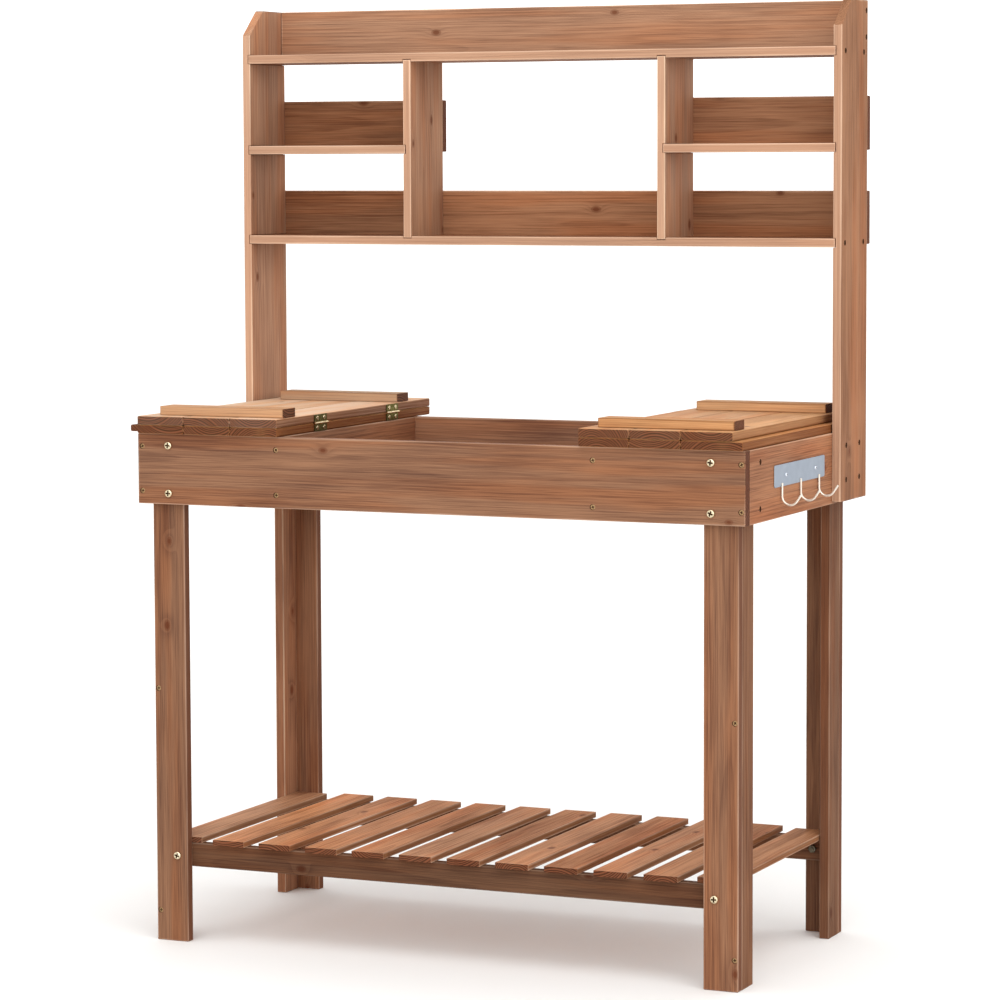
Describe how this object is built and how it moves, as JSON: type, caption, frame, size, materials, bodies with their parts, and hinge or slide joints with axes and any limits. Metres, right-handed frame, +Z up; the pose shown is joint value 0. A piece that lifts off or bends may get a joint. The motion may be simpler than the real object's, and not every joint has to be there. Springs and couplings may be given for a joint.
{
  "type": "potting bench",
  "caption": "Wooden potting bench with a central soil bin, folding work-top leaves, a slatted lower shelf, a cubby hutch and a side hook rail.",
  "frame": {"origin": "on the floor at the middle of the footprint", "axes": "+Z up, +Y from the open front to the back, +X to the right as seen from the front, towards the hook rail"},
  "size_m": [1.0478, 0.553, 1.46],
  "materials": {
    "frame_wood": "satin reddish-brown stain on softwood",
    "hutch_wood": "satin reddish-brown stain on softwood",
    "slat_wood": "satin reddish-brown stain on softwood",
    "top_wood": "satin honey-brown stain on tongue-and-groove softwood",
    "hinge_brass": "polished plated steel with a brass tone",
    "hook_metal": "zinc plated, light grey"
  },
  "bodies": {
    "bench": {"front_apron": "frame_wood", "back_apron": "frame_wood", "left_side_apron": "frame_wood", "left_partition": "frame_wood", "right_side_apron": "frame_wood", "right_partition": "frame_wood", "bin_floor": "frame_wood", "left_bin_cleat": "frame_wood", "right_bin_cleat": "frame_wood", "front_left_leg_face": "frame_wood", "front_left_leg_side": "frame_wood", "rear_left_leg_face": "frame_wood", "rear_left_leg_side": "frame_wood", "front_right_leg_face": "frame_wood", "front_right_leg_side": "frame_wood", "rear_right_leg_face": "frame_wood", "rear_right_leg_side": "frame_wood", "front_rail": "frame_wood", "rear_rail": "frame_wood", "slat_01": "slat_wood", "slat_02": "slat_wood", "slat_03": "slat_wood", "slat_04": "slat_wood", "slat_05": "slat_wood", "slat_06": "slat_wood", "slat_07": "slat_wood", "slat_08": "slat_wood", "slat_09": "slat_wood", "slat_10": "slat_wood", "slat_11": "slat_wood", "slat_12": "slat_wood", "left_upright": "hutch_wood", "right_upright": "hutch_wood", "top_shelf": "hutch_wood", "bottom_shelf": "hutch_wood", "left_divider": "hutch_wood", "right_divider": "hutch_wood", "left_middle_shelf": "hutch_wood", "right_middle_shelf": "hutch_wood", "top_back_board": "hutch_wood", "upper_left_back_board": "hutch_wood", "upper_right_back_board": "hutch_wood", "lower_back_board": "hutch_wood", "left_fixed_leaf": "top_wood", "right_fixed_leaf": "top_wood", "left_front_hinge_fixed_plate": "hinge_brass", "left_rear_hinge_fixed_plate": "hinge_brass", "right_front_hinge_fixed_plate": "hinge_brass", "right_rear_hinge_fixed_plate": "hinge_brass", "hook_rail": "hook_metal"},
    "left_leaf": {"left_swing_leaf": "top_wood", "left_front_batten": "top_wood", "left_rear_batten": "top_wood", "left_front_hinge_swing_plate": "hinge_brass", "left_rear_hinge_swing_plate": "hinge_brass"},
    "right_leaf": {"right_swing_leaf": "top_wood", "right_front_batten": "top_wood", "right_rear_batten": "top_wood", "right_front_hinge_swing_plate": "hinge_brass", "right_rear_hinge_swing_plate": "hinge_brass"}
  },
  "joints": [
    {"name": "left_leaf_fold", "type": "hinge", "parent": "bench", "child": "left_leaf", "pos_m": [-0.26253, 0, 0.80975], "axis": [0, 1, 0], "range_deg": [0, 180]},
    {"name": "right_leaf_fold", "type": "hinge", "parent": "bench", "child": "right_leaf", "pos_m": [0.22828, 0, 0.80975], "axis": [0, -1, 0], "range_deg": [0, 180]}
  ]
}
